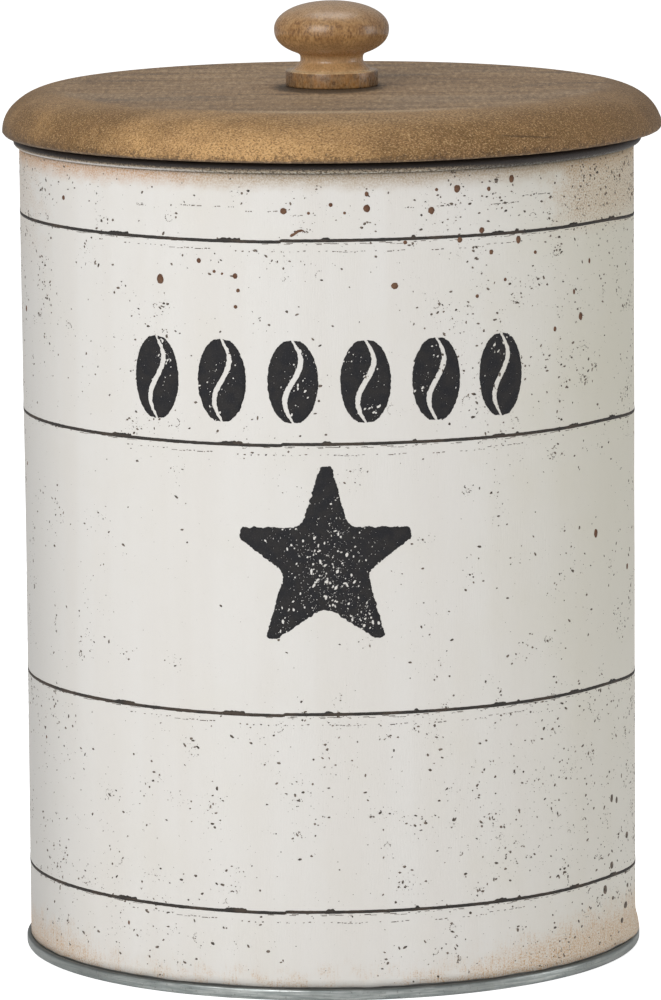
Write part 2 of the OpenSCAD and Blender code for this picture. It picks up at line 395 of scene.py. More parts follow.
def tinplate():
    """Bare drawn tinplate inside, and a dark painted curl whose lower edge is chipped to the metal. The
    curl's near-black top is partly painted shadow under the board, and its lighter lower band, chips and
    white edge at the left are partly painted light.
    """
    g = Graph("tinplate")
    flat, _, height, angle = g.wall_place()
    x, y, _ = g.split(g.here)
    radius = g.length(x, y)
    fine = g.grain(flat, (0.25, 5, 1), 3, 0.6)
    cloud = g.noise(g.stretch(flat, (1, 1, 1), (0, 60, 0)), 0.05, 3)
    speckle = g.noise(flat, 1.9, 4, 0.75)
    metal = g.mix(fine, (0.44, 0.435, 0.42), (0.62, 0.615, 0.6))
    stain = g.fade(g.noise(flat, 0.12, 4, 0.6), 0.56, 0.72)
    metal = g.tint(metal, (0.3, 0.24, 0.17), stain, 0.5)
    metal = g.tint(metal, (0.4, 0.38, 0.35), cloud, 0.3)

    below = g.sub(RIM_TOP / MM, height)
    paint = g.mul(g.fade(below, 4.6, 3.8), g.fade(radius, SHELL_IN + 0.05 * MM, SHELL_IN + 0.5 * MM))
    chipping = g.grain(flat, (1.5, 2.3, 1), 4, 0.75)
    # Lighter band in the curl's lower half: rubbed paint and painted light. The near-black above it is dark
    # paint and painted shadow under the board. Less of the band on the right is painted shade.
    rubbed = g.fade(g.add(below, g.mul(g.sub(speckle, 0.5), 1.6)), 1.15, 1.95)
    middle = g.ramp(g.fade(angle, 14, 36), 0, 1, 1, 0.08)
    dark = g.tint((0.02, 0.014, 0.012), (0.38, 0.29, 0.19), rubbed, middle)
    grit = g.mul(g.fade(chipping, 0.5, 0.44), g.fade(below, 0.9, 1.5))
    dark = g.tint(dark, (0.026, 0.02, 0.017), grit, 0.85)
    # Real paint chips, shown only on the left and front and fading on the right: a painted highlight on
    # them.
    painted_highlight_zone = g.least(g.fade(angle, -75, -40), g.ramp(g.fade(angle, 10, 38), 0, 1, 1, 0.42))
    chips = g.mul(g.fade(chipping, 0.5, 0.56), g.fade(g.add(below, speckle), 2.1, 2.8))
    dark = g.tint(dark, (0.56, 0.58, 0.53), chips, painted_highlight_zone, 0.95)
    # White at the curl's lower edge on the left: the sleeve wrapped over it, and a painted highlight.
    wrap_and_highlight = g.mul(g.fade(angle, -18, -34), g.fade(g.add(below, g.mul(speckle, 0.5)), 2, 2.3))
    dark = g.tint(dark, (0.72, 0.71, 0.71), wrap_and_highlight, 0.6)
    colour = g.mix(paint, metal, dark)
    shine = g.mul(g.sub(1, paint), 0.85)
    rough = g.ramp(g.add(fine, paint), 0.3, 1.3, 0.34, 0.55)
    g.bump(g.add(g.mul(fine, 0.5), g.mul(g.mul(speckle, paint), 3)), 0.00005)
    return g.finish(Base_Color=colour, Metallic=shine, Roughness=rough)


def zinc():
    """Galvanised sheet: grey-green, softly streaked along the seam, with a dull bloom in places and painted
    shade towards both sides.
    """
    g = Graph("zinc")
    _, across, height, angle = g.wall_place()
    x, y, _ = g.split(g.here)
    drawn_out = g.join(g.mul(across, 0.1), g.mul(height, 2.2), g.mul(x, 60))
    streak = g.noise(drawn_out, 1, 3, 0.6)
    bloom = g.grain(g.here, (90, 90, 90), 4, 0.6)
    pits = g.grain(g.here, (1500, 1500, 1500), 3, 0.7)
    panel = g.grain(g.here, (12, 260, 260), 4, 0.6)
    square = g.add(g.mul(x, x), g.mul(y, y))
    flat_part = g.fade(square, (SEAM_R - 2 * MM) ** 2, (SEAM_R - 4 * MM) ** 2)
    streak = g.add(g.mul(streak, g.sub(1, flat_part)), g.mul(panel, flat_part))
    colour = g.mix(g.fade(streak, 0.34, 0.66), (0.3, 0.335, 0.33), (0.57, 0.595, 0.58))
    colour = g.tint(colour, (0.3, 0.32, 0.31), g.fade(bloom, 0.45, 0.7), 0.6)
    colour = g.tint(colour, (0.16, 0.15, 0.14), g.fade(pits, 0.58, 0.7), 0.6)
    top = g.fade(g.add(height, g.mul(g.sub(bloom, 0.5), 0.5)), 2.3, 2.8)
    colour = g.tint(colour, (0.1, 0.105, 0.1), top, 0.72)
    # Painted shade towards both sides of the seam.
    sides = g.most(g.fade(angle, 34, 66), g.fade(angle, -30, -62))
    colour = g.tint(colour, (0.21, 0.23, 0.225), sides, 0.6)
    rough = g.ramp(g.add(bloom, g.mul(streak, 0.5)), 0.4, 1.1, 0.3, 0.48)
    g.bump(g.add(g.mul(streak, 0.6), g.mul(pits, 0.6)), 0.00005)
    return g.finish(Base_Color=colour, Metallic=0.9, Roughness=rough)


def board_wood():
    """Weathered board: grey-brown and streaked along X on top, sanded golden and full of pores on the
    rounding, with a painted highlight on its front and along the shoulder, painted shade towards both sides,
    painted shadow and dirt round the knob's foot, pitted along the lower edge."""
    g = Graph("board_wood")
    x, y, z = g.split(g.here)
    x = g.sub(x, LID_SHIFT)
    radius = g.mul(g.length(x, y), 1 / MM)
    angle = g.mul(g.bearing(x, y), 180 / math.pi)
    above = g.mul(g.sub(z, PANEL_LO.z), 1 / MM)

    streaks = g.grain(g.here, (24, 200, 200), 4, 0.6)
    fibre = g.grain(g.here, (210, 1500, 1500), 4, 0.7)
    pores = g.grain(g.here, (1900, 3100, 3100), 4, 0.75)
    blotches = g.grain(g.here, (120, 260, 200), 3, 0.6)
    clouds = g.grain(g.here, (22, 45, 45), 3)
    stains = g.grain(g.here, (24, 150, 80), 3, 0.6, (3, 1, 2))

    top = g.mix(g.fade(streaks, 0.36, 0.64), (0.247, 0.153, 0.082), (0.39, 0.258, 0.146))
    top = g.tint(top, (0.5, 0.355, 0.208), g.fade(fibre, 0.5, 0.66), 0.45)
    top = g.tint(top, (0.18, 0.12, 0.075), g.fade(fibre, 0.48, 0.36), 0.45)
    top = g.tint(top, (0.15, 0.108, 0.078), g.fade(stains, 0.52, 0.66), 0.85)
    top = g.tint(top, (0.47, 0.34, 0.22), g.fade(stains, 0.46, 0.34), 0.5)
    top = g.tint(top, (0.31, 0.235, 0.166), g.fade(clouds, 0.5, 0.66), 0.4)
    nap = g.grain(g.here, (900, 150, 900), 3, 0.7)
    top = g.tint(top, (0.14, 0.09, 0.06), g.fade(nap, 0.5, 0.36), 0.5)
    top = g.tint(top, (0.59, 0.425, 0.265), g.fade(nap, 0.52, 0.66), 0.46)

    # Painted highlight on the front-left of the rounding, brighter low down, with real cloudy and blotchy
    # tone added to it.
    highlight_and_tone = g.least(g.fade(angle, -52, -24), g.math("POWER", g.fade(angle, 46, -18), 3.1))
    highlight_and_tone = g.mul(highlight_and_tone, g.ramp(above, 4, 9.5, 0.98, 0.38))
    highlight_and_tone = g.add(highlight_and_tone, g.ramp(clouds, 0.3, 0.7, -0.2, 0.25))
    highlight_and_tone = g.add(highlight_and_tone, g.ramp(blotches, 0.3, 0.7, -0.18, 0.18))
    side = g.mix(g.math("MAXIMUM", highlight_and_tone, 0, clamp=True), (0.225, 0.122, 0.041), (0.66, 0.385, 0.155))
    side = g.tint(side, (0.32, 0.175, 0.075), g.fade(streaks, 0.4, 0.66), 0.3)
    upper = 0.8 * (PANEL_HI.z - PANEL_LO.z) / MM
    middle = g.add(g.mul(g.sub(above, upper), 0.5), g.mul(g.sub(clouds, 0.5), 3))
    side = g.tint(side, (0.5, 0.345, 0.2), g.fade(middle, -0.6, 1), 0.3)

    wander = g.add(g.mul(g.sub(clouds, 0.5), 6), g.mul(g.sub(blotches, 0.5), 5))
    shoulder = g.fade(g.add(radius, wander), 67.6, 73.2)
    # Painted shade on the rounding towards both sides.
    far = g.most(g.fade(angle, 52, 78), g.mul(g.fade(angle, -62, -80), 0.5))
    side = g.tint(side, (0.125, 0.068, 0.028), far, 0.56)
    low = g.fade(above, 0.7, 0.2)
    rim = g.math("MULTIPLY", shoulder, g.sub(1, low), clamp=True)
    colour = g.mix(rim, top, side)
    # Lighter stripe along the shoulder at the front: a rubbed edge and a painted highlight.
    rubbed = g.mul(g.fade(radius, 68.4, 69.6), g.fade(radius, 72.8, 70.4))
    rubbed = g.mul(rubbed, g.least(g.fade(angle, -26, -8), g.fade(angle, 40, 10)))
    colour = g.tint(colour, (0.66, 0.5, 0.33), rubbed, g.ramp(fibre, 0.35, 0.65, 0.3, 0.7))
    dark_pores = g.mul(g.fade(pores, 0.51, 0.38), g.ramp(rim, 0, 1, 0.58, 0.76))
    colour = g.mix(dark_pores, colour, (0.11, 0.058, 0.026))
    light_pores = g.mul(g.fade(pores, 0.52, 0.65), g.ramp(rim, 0, 1, 0.52, 0.6))
    colour = g.mix(light_pores, colour, (0.8, 0.56, 0.3))

    pits = g.grain(g.here, (900, 900, 900), 4, 0.75)
    pitted = g.mul(g.fade(g.add(above, g.mul(g.sub(pits, 0.5), 12)), 1.6, 0.2), shoulder)
    left_cracks = g.mul(g.fade(angle, -46, -66), g.fade(g.add(above, g.mul(pits, 9)), 7.6, 5.6))
    colour = g.tint(colour, (0.06, 0.035, 0.02), g.most(pitted, g.mul(left_cracks, 0.8)), 0.6)
    bend = g.sub(above, g.ramp(angle, 29, 41, 5.3, 3.9))
    crack = g.fade(g.math("ABSOLUTE", g.add(bend, g.mul(g.sub(blotches, 0.5), 1.6))), 0.34, 0.1)
    crack = g.mul(crack, g.mul(g.fade(angle, 28, 31), g.fade(angle, 42, 39)))
    colour = g.tint(colour, (0.07, 0.038, 0.018), crack, 0.6)
    # Dark patch round the knob's foot, reaching further to the front: painted shadow of the knob, with dirt.
    knob_shadow_ellipse = g.join(g.mul(g.add(x, 0.0008), 1 / 0.0146), g.mul(g.add(y, 0.005), 1 / 0.0185))
    reach = g.node("ShaderNodeVectorMath", {0: knob_shadow_ellipse}, operation="LENGTH").outputs["Value"]
    foot = g.fade(g.add(reach, g.mul(g.sub(pits, 0.5), 0.5)), 1.08, 0.8)
    colour = g.tint(colour, (0.055, 0.042, 0.028), foot, 0.8)

    rough = g.ramp(g.add(pores, g.mul(rim, -0.3)), 0, 0.8, 0.46, 0.66)
    g.bump(g.add(g.mul(fibre, 0.7), g.add(g.mul(pores, 0.8), g.mul(streaks, 0.6))), 0.00024)
    return g.finish(Base_Color=colour, Roughness=rough, Specular_IOR_Level=0.3)


def knob_wood():
    """Turned wood under a thin wax: mottled orange-brown, with a grey painted reflection on top, painted
    light on the ball's underside, painted shade on its right and in the neck, and a painted highlight along
    the ring's edge.
    """
    g = Graph("knob_wood")
    x, _, z = g.split(g.here)
    height = g.mul(g.sub(z, KNOB_LO.z), 1 / MM)
    fibre = g.grain(g.here, (1900, 1900, 1000), 4, 0.7)
    mottle = g.grain(g.here, (300, 300, 220), 3, 0.6)
    tone = g.mix(g.fade(mottle, 0.34, 0.66), (0.31, 0.147, 0.044), (0.46, 0.247, 0.088))
    tone = g.tint(tone, (0.13, 0.06, 0.022), g.fade(fibre, 0.51, 0.38), 0.72)
    tone = g.tint(tone, (0.68, 0.44, 0.2), g.fade(fibre, 0.53, 0.66), 0.6)
    # Lighter lower part of the ball: painted light from below.
    below = g.fade(height, 14, 9.5)
    tone = g.tint(tone, (0.66, 0.42, 0.21), below, 0.5)
    # Greyer top of the ball: painted reflection.
    grey = g.fade(g.add(height, g.mul(g.sub(mottle, 0.5), 6)), 14.5, 20.5)
    tone = g.tint(tone, (0.42, 0.275, 0.155), grey, 0.72)
    # Darker right side of the ball: painted shade.
    right = g.mul(g.fade(x, 4 * MM, 14 * MM), g.fade(height, 8, 11))
    tone = g.tint(tone, (0.2, 0.12, 0.065), right, 0.25)
    # Bright line along the ring's top edge: painted highlight.
    lip = g.mul(g.fade(height, 3.75, 3.95), g.fade(height, 4.3, 4.1))
    tone = g.tint(tone, (0.8, 0.58, 0.32), lip, g.ramp(mottle, 0.3, 0.7, 0.3, 0.95))
    ring = g.fade(height, 3.9, 3.6)
    blotch = g.grain(g.here, (420, 420, 260), 4, 0.7, (9, 0, 0))
    ring_tone = g.mix(g.fade(blotch, 0.38, 0.62), (0.075, 0.029, 0.007), (0.32, 0.132, 0.024))
    tone = g.tint(tone, ring_tone, ring, g.ramp(fibre, 0.35, 0.65, 0.85, 0.45))
    to_side = g.math("ABSOLUTE", g.sub(x, LID_SHIFT))
    ring_side = g.mul(g.fade(height, 4.2, 3.9), g.fade(to_side, 8 * MM, 11.4 * MM))
    tone = g.tint(tone, (0.07, 0.042, 0.025), ring_side, 0.6)
    # Darker neck: painted shade in the crease.
    crease = g.mul(g.fade(height, 9.8, 8.6), g.fade(height, 6.6, 7.6))
    tone = g.tint(tone, (0.1, 0.055, 0.03), crease, 0.1)
    rough = g.ramp(fibre, 0.3, 0.7, 0.22, 0.34)
    g.bump(g.add(fibre, mottle), 0.00005)
    return g.finish(Base_Color=tone, Roughness=rough, Specular_IOR_Level=0.7)


def plain_wood():
    """Pale unfinished wood of the plug, with rings and fibre along X."""
    g = Graph("plain_wood")
    _, y, z = g.split(g.here)
    fibre = g.grain(g.here, (70, 1300, 1300), 4, 0.6)
    bend = g.grain(g.here, (8, 20, 20), 2)
    across = g.math("POWER", g.add(g.mul(y, y), g.math("POWER", g.sub(z, 0.16), 2)), 0.5)
    line = g.math("FRACT", g.add(g.mul(across, 260), g.mul(bend, 3)))
    colour = g.mix(g.fade(line, 0.4, 1), (0.5, 0.36, 0.2), (0.36, 0.235, 0.115))
    colour = g.tint(colour, (0.3, 0.19, 0.1), fibre, 0.45)
    g.bump(fibre, 0.0002)
    return g.finish(Base_Color=colour, Roughness=0.62)


def silicone():
    """Clear-white silicone with settled dust."""
    g = Graph("silicone")
    cloud = g.grain(g.here, (160, 160, 160), 3)
    dust = g.grain(g.here, (1800, 1800, 1800), 3, 0.7)
    colour = g.mix(cloud, (0.7, 0.7, 0.66), (0.8, 0.8, 0.77))
    colour = g.tint(colour, (0.45, 0.4, 0.34), g.fade(dust, 0.58, 0.7), 0.35)
    rough = g.ramp(dust, 0.3, 0.7, 0.32, 0.5)
    g.bump(dust, 0.00004)
    return g.finish(Base_Color=colour, Roughness=rough)


def plated_steel(name):
    """Zinc-plated steel with fine turning marks."""
    g = Graph(name)
    cloud = g.grain(g.here, (900, 900, 3200), 3)
    colour = g.mix(cloud, (0.5, 0.5, 0.51), (0.68, 0.68, 0.69))
    rough = g.ramp(cloud, 0.3, 0.7, 0.24, 0.42)
    g.bump(cloud, 0.00003)
    return g.finish(Base_Color=colour, Metallic=1, Roughness=rough)


# ---- the body


def wall_radius(angle, z):
    """Outside of the sleeve: a rolled sheet is never quite round or straight."""
    x, y, _ = polar(1.0, angle, 0)
    long_wave = ripple(x, y, z * 3, 0.9, 1)
    short_wave = ripple(x, y, z * 12, 0.25, 2)
    flare = 0.45 * step(z, 0.09, 0.2) * max(0.0, -math.sin(angle))
    turned_out = step(angle, 1.15, 1.4) * step(angle, 2.4, 1.9)
    flare += 0.98 * turned_out * step(z, 8 * MM, 3.2 * MM)
    return WALL_R + (0.16 * long_wave + 0.05 * short_wave + flare) * MM


def on_wall(across, z, lift):
    """The point that far round the wall from the front, at that height and lift off the sleeve."""
    angle = across / WALL_R
    return polar(wall_radius(angle, z) + lift, angle, z)


def shell_profile():
    """Section of the wall with its hook and curled rim."""
    curl_r = (RIM_R - SHELL_IN) / 2
    curl_x = SHELL_IN + curl_r
    high, low = RIM_TOP - curl_r, RIM_TOP - CURL_H + curl_r
    inner = curl_r - SHEET
    hook_z = SHEET
    lap_top = RIM_TOP - 6 * MM
    outline = densify([(SHELL_IN, hook_z), (SHELL_IN, lap_top)], 5 * MM)
    outline += densify([(SHELL_IN, lap_top), (SHELL_IN, high)], 0.5 * MM)[1:]
    outline += arc((curl_x, high), (curl_r, curl_r), 180, 0, 20)[1:]
    outline += arc((curl_x, low), (curl_r, curl_r), 0, -110, 14)
    outline += arc((curl_x, low), (inner, inner), -110, 0, 10)
    outline += arc((curl_x, high), (inner, inner), 0, 180, 14)
    outline += densify([(SHELL_OUT, low - curl_r), (SHELL_OUT, lap_top)], 0.5 * MM)
    outline += densify([(SHELL_OUT, lap_top), (SHELL_OUT, hook_z)], 5 * MM)[1:]
    return outline


def lap_seam(angle, z):
    """How far the lap seam up the back stands out: one more sheet, with a soft step at each side."""
    off = abs(angle - math.pi) * SHELL_OUT
    beside = step(off, LAP_W / 2 + 0.3 * MM, LAP_W / 2 - 0.3 * MM)
    return SHEET * beside * step(z, RIM_TOP - 4.2 * MM, RIM_TOP - 5.2 * MM)


def make_shell(material):
    """The rolled body with its lap seam, and a rim that stands in for the wire in it too."""
    def shape(r, angle, z):
        x, y, _ = polar(1.0, angle, 0)
        rim = step(z, RIM_TOP - 4 * MM, RIM_TOP - 3 * MM)
        dents = rim * (0.05 * ripple(x, y, z * 4, 0.12, 3) + 0.04 * ripple(x, y, z * 9, 0.03, 4)) * MM
        return polar(r + dents + lap_seam(angle, z), angle, z + 0.5 * dents)

    offsets = [side * (LAP_W / 2 + 0.15 * i * MM) for side in (-1, 1) for i in (-2, -1, 1, 2)]
    around_seam = [math.pi + offset / SHELL_OUT for offset in offsets]
    mesh = lathe("tin_shell", shell_profile(), 420, shape, around_seam)
    piece = link("tin_shell", mesh, material, "tin")
    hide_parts("shell", "rim_wire")


def wrap(name, count, gap, section):
    """Mesh of a closed section swept round the wall, open over a gap to each side of the back.
    section(angle) gives its points."""
    verts, faces = [], []
    for k in range(count + 1):
        points = section(-math.pi + gap + (TURN - 2 * gap) * k / count)
        verts += points
    size = len(points)
    for k in range(count):
        for j in range(size):
            n = (j + 1) % size
            a, b = k * size, (k + 1) * size
            faces.append((a + j, b + j, b + n, a + n))
    faces += [tuple(range(size)), tuple(range(count * size, (count + 1) * size))]
    return closed_mesh(name, verts, faces)


def make_sleeve(material):
    """The printed sleeve, open in a narrow strip at the back, with torn-looking upper and lower edges."""
    rows = 100

    def section(angle):
        x, y, _ = polar(1.0, angle, 0)
        top = RIM_TOP - CURL_H + (0.1 * ripple(x, y, 0, 0.05, 5) + 0.05 * ripple(x, y, 0, 0.012, 6)) * MM
        low = SLEEVE_LO.z + (0.35 + 0.3 * ripple(x, y, 0, 0.08, 7)) * MM
        heights = [low + (top - low) * j / rows for j in range(rows + 1)]
        inner = SHELL_OUT + 0.01 * MM
        points = [polar(wall_radius(angle, z), angle, z) for z in heights]
        return points + [polar(inner, angle, heights[-1]), polar(inner, angle, low)]

    mesh = wrap("tin_sleeve", 560, 4 * MM / WALL_R, section)
    piece = link("tin_sleeve", mesh, material, "tin")
    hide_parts("printed_sleeve")


def make_base(material):
    """The pressed base end with its double seam."""
    foot, seam, h = 0.9 * MM, 0.7 * MM, BASE_LO.z  # the seam's lower and upper rounding, and its foot
    chuck = SHELL_IN - SHEET
    seam_h = 2.9 * MM
    depth = 3.2 * MM  # of the panel above the foot
    under = [(0.0, depth), (44.4 * MM, depth), (46 * MM, depth + 0.8 * MM), (58 * MM, depth + 0.8 * MM),
             (59.6 * MM, depth)]
    outline = densify(under, 3 * MM)
    outline += densify([under[-1], (chuck - foot, depth)], 3 * MM)[1:]
    outline += arc((chuck - foot, depth - foot), (foot, foot), 90, 0, 6)
    outline += arc((chuck + 0.5 * MM, h + 0.5 * MM), (0.5 * MM, 0.5 * MM), 180, 270, 6)
    outline += arc((SEAM_R - foot, h + foot), (foot, foot), 270, 360, 8)
    outline += arc((SEAM_R - seam, seam_h - seam), (seam, seam), 0, 90, 6)
    outline += [(SHELL_OUT + 0.02 * MM, seam_h), (SHELL_OUT + 0.02 * MM, seam_h - 0.6 * MM)]
    outline += [(SHELL_IN - 0.02 * MM, seam_h - 0.6 * MM), (SHELL_IN - 0.02 * MM, depth + SHEET)]
    outline += densify([(chuck - foot, depth + SHEET), (59.6 * MM, depth + SHEET)], 3 * MM)
    outline += [(r, z + SHEET) for r, z in reversed(densify(under, 3 * MM))][1:]

    def shape(r, angle, z):
        x, y, _ = polar(1.0, angle, 0)
        rim = step(r, chuck, SEAM_R)
        dents = rim * (0.05 * ripple(x, y, z * 3, 0.1, 8) + 0.03 * ripple(x, y, z * 3, 0.02, 9)) * MM
        return polar(r + dents, angle, z)

    mesh = lathe("tin_base", outline, 420, shape)
    piece = link("tin_base", mesh, material, "tin")
    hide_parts("base_end")


# ---- the print


def rounded(corners, radii, steps=6):
    """A closed outline with each corner rounded to its radius."""
    out = []
    count = len(corners)
    for i, radius in enumerate(radii):
        here = Vector(corners[i])
        to_last = (Vector(corners[i - 1]) - here).normalized()
        to_next = (Vector(corners[(i + 1) % count]) - here).normalized()
        half = to_last.angle(to_next) / 2
        reach = radius / math.tan(half)
        middle = here + (to_last + to_next).normalized() * radius / math.sin(half)
        first, last = here + to_last * reach - middle, here + to_next * reach - middle
        swing = first.angle_signed(last)
        for s in range(steps + 1):
            turned = Matrix.Rotation(-swing * s / steps, 2) @ first
            out.append(tuple(middle + turned))
    return out


def star_outline():
    """A five-pointed star with blunt, worn tips. A tip is its reach, its direction and the direction it is
    cut in, a hollow its reach, direction and radius, all from the star's middle."""
    tips = ((23.3, 89.8, 0), (22.3, 162, 78), (23.5, 234.5, 176), (23.0, 304.3, 3), (22.0, 18.2, 104))
    hollows = ((10.2, 125.7, 3.6), (10.6, 196, 2.8), (11.0, 269.5, 5.0), (10.4, 344.5, 3.0), (10.0, 57, 2.8))
    half = 1.35  # of a tip's width
    corners, radii = [], []
    for (reach, way, cut), (depth, after, radius) in zip(tips, hollows):
        way, cut, after = math.radians(way), math.radians(cut), math.radians(after)
        x, y = reach * math.cos(way), reach * math.sin(way)
        u, v = half * math.cos(cut), half * math.sin(cut)
        first = 1 if v * math.cos(way) < u * math.sin(way) else -1
        corners += [(x + first * u, y + first * v), (x - first * u, y - first * v)]
        corners.append((depth * math.cos(after), depth * math.sin(after)))
        radii += [0.85, 0.85, radius]
    return rounded(corners, radii)


def bean_outlines(width, height, crease):
    """The two halves of a coffee bean, either side of its curved crease."""
    halves = []
    for side in (1, -1):
        rim, fold = [], []
        for i in range(41):
            t = math.pi * i / 40
            rim.append((side * width / 2 * math.sin(t), height / 2 * math.cos(t)))
        for i in range(31):
            v = 1 - 2 * i / 30
            z = height / 2 * v * 0.97
            gap = crease * (1 - 0.6 * v * v) / 2
            fold.append((0.16 * width * math.sin(math.pi * v) + side * gap, z))
        halves.append([p for p in rim if abs(p[1]) < 0.97 * height / 2] + fold[::-1])
    return halves


def ragged(outline, amount, seed):
    """The outline with the small unevenness of a worn printing block."""
    out = []
    fine = densify(outline, 0.3, closed=True)
    for (x0, y0), (x1, y1) in zip(fine, fine[1:] + fine[:1]):
        along = Vector((x1 - x0, y1 - y0))
        if along.length < 1e-6:
            continue
        off = amount * (ripple(x0, y0, 0, 1.1, seed) + 0.9 * ripple(x0, y0, 0, 0.4, seed + 1))
        out.append((x0 - along.y / along.length * off, y0 + along.x / along.length * off))
    return out


def blob(draw, x, y, radius, long=1.0, lean=0.0):
    """A small uneven spot, drawn out by long along its lean."""
    sides = 4 + min(7, int(radius * 14))
    turn = draw.uniform(0, TURN)
    cos, sin = math.cos(lean), math.sin(lean)
    out = []
    for k in range(sides):
        a = turn + TURN * k / sides
        r = radius * draw.uniform(0.72, 1.2)
        u, v = r * math.cos(a) * long, r * math.sin(a)
        out.append((x + u * cos - v * sin, y + u * sin + v * cos))
    return out


def worn_grains(draw, groups):
    """Spots where the ink has come off. A group is its centre, spread, count and largest radius."""
    grains = []
    for x, y, spread, count, largest in groups:
        for _ in range(count):
            radius = 0.07 + (largest - 0.07) * draw.random() ** 4
            lean = draw.gauss(1.1, 0.5)
            place = (draw.gauss(x, spread), draw.gauss(y, spread))
            grains.append((place, blob(draw, *place, radius, draw.uniform(1.0, 2.0), lean)))
    return grains


def inside(point, outline):
    """Whether a point is within a closed outline."""
    x, y = point
    odd = False
    for (x0, y0), (x1, y1) in zip(outline, outline[1:] + outline[:1]):
        if (y0 > y) != (y1 > y) and x < x0 + (y - y0) * (x1 - x0) / (y1 - y0):
            odd = not odd
    return odd


def print_mesh(name, outlines, across, height, grains, grid=1.0):
    """A thin closed layer of ink on the sleeve, with the grains left bare. Outlines are in millimetres round
    (across, height)."""
    verts, faces = [], []
    for outline in outlines:
        xs, ys = [p[0] for p in outline], [p[1] for p in outline]
        count = len(outline)
        points = [Vector(p) for p in outline]
        for i in range(int(min(xs) / grid), int(max(xs) / grid) + 1):
            for j in range(int(min(ys) / grid), int(max(ys) / grid) + 1):
                points.append(Vector((i * grid, j * grid)))
        edges = []
        for _, grain in grains:
            first, sides = len(points), len(grain)
            points += [Vector(p) for p in grain]
            edges += [(first + k, first + (k + 1) % sides) for k in range(sides)]
        flat, _, tris, *_ = geometry.delaunay_2d_cdt(points, edges, [list(range(count))], 1, 1e-5)
        kept = []
        for tri in tris:
            middle = (flat[tri[0]] + flat[tri[1]] + flat[tri[2]]) / 3
            near = [g for (x, y), g in grains if abs(x - middle.x) < 2 and abs(y - middle.y) < 2]
            if inside(middle, outline) and not any(inside(middle, g) for g in near):
                kept.append(tri)
        tris = kept
        base, size = len(verts), len(flat)
        for level in (0.05 * MM, INK_SINK):
            verts += [on_wall((across + p.x) * MM, (height + p.y) * MM, level) for p in flat]
        used = {}  # the sides of the kept triangles, each as it is walked
        for tri in tris:
            faces.append([base + v for v in tri])
            faces.append([base + size + v for v in reversed(tri)])
            used.update(dict.fromkeys(zip(tri, tri[1:] + tri[:1])))
        for a, b in used:
            if (b, a) not in used:
                faces.append([base + b, base + a, base + size + a, base + size + b])
    return closed_mesh(name, verts, faces)


STAR_ANGLE, STAR_HEIGHT = -0.8, 108.9
BEAN_HEIGHT = 152.9
BEAN_SIZE = (12.4, 20.8)
BEAN_PITCH = 13.2
LINE_HEIGHTS = (22.0, 71.1, 137.6, 187.3)
LINE_WIDTH = 0.76
# Raised blocks along each line: from and to in degrees, and how far they stand above it in millimetres
LINE_BLOCKS = ((-44, -39, 0.45), (-20.5, -16, 0.5), (-1.3, 0.2, 0.45), (15.2, 15.9, 0.55), (31, 33.7, 0.4),
               (36.3, 36.9, 0.55), (49.8, 52.6, 0.45), (64, 67, 0.45), (96, 101, 0.5), (140, 144, 0.5),
               (-92, -88, 0.5), (-135, -129, 0.5))
# Where the star's ink is rubbed off, in millimetres: centre, spread, how many grains, their largest radius
STAR_WEAR = ((0, -1, 4.5, 130, 0.33), (-1, -5, 4, 100, 0.34), (9, -13.5, 2.2, 85, 0.36),
             (4, -10, 2.8, 60, 0.3), (-10.5, -14.5, 1.5, 16, 0.36), (1.5, 7, 2.8, 44, 0.3),
             (2, 15, 1.6, 12, 0.3), (-10, 5, 3.4, 36, 0.28), (9, 5, 3.2, 24, 0.3), (0, -1, 9, 330, 0.14),
             (-5, -10, 3, 40, 0.25))


def make_marks(material):
    """The worn star and the row of coffee beans."""
    draw = random.Random(11)
    star = ragged(star_outline(), 0.27, 20)
    grains = worn_grains(draw, STAR_WEAR)
    mesh = print_mesh("star_mark", [star], STAR_ANGLE * DEGREE, STAR_HEIGHT, grains)
    link("star_mark", mesh, material, "tin")
    for i in range(6):
        halves = [ragged(half, 0.14, 30 + i) for half in bean_outlines(*BEAN_SIZE, 1.5)]
        wear = [(draw.uniform(-4, 4), draw.uniform(-8, 8), draw.uniform(1, 2.5), 12, 0.36) for _ in range(3)]
        grains = worn_grains(draw, wear + [(0, 0, 4.5, 34, 0.22)])
        mesh = print_mesh(f"bean_mark_{i + 1}", halves, (i - 2.5) * BEAN_PITCH * DEGREE, BEAN_HEIGHT, grains)
        link(f"bean_mark_{i + 1}", mesh, material, "tin")


def spot_mesh(name, outlines, material, lift):
    """Many small closed spots, each thinner than paper. Outlines are in millimetres on the unrolled wall."""
    verts, faces = [], []
    for outline in outlines:
        first, sides = len(verts), len(outline)
        for level in (lift, INK_SINK):
            verts += [on_wall(x * MM, y * MM, level) for x, y in outline]
        faces.append([first + k for k in range(sides)])
        faces.append([first + sides + k for k in reversed(range(sides))])
        for k in range(sides):
            n = (k + 1) % sides
            faces.append([first + n, first + k, first + sides + k, first + sides + n])
    link(name, closed_mesh(name, verts, faces), material, "tin")


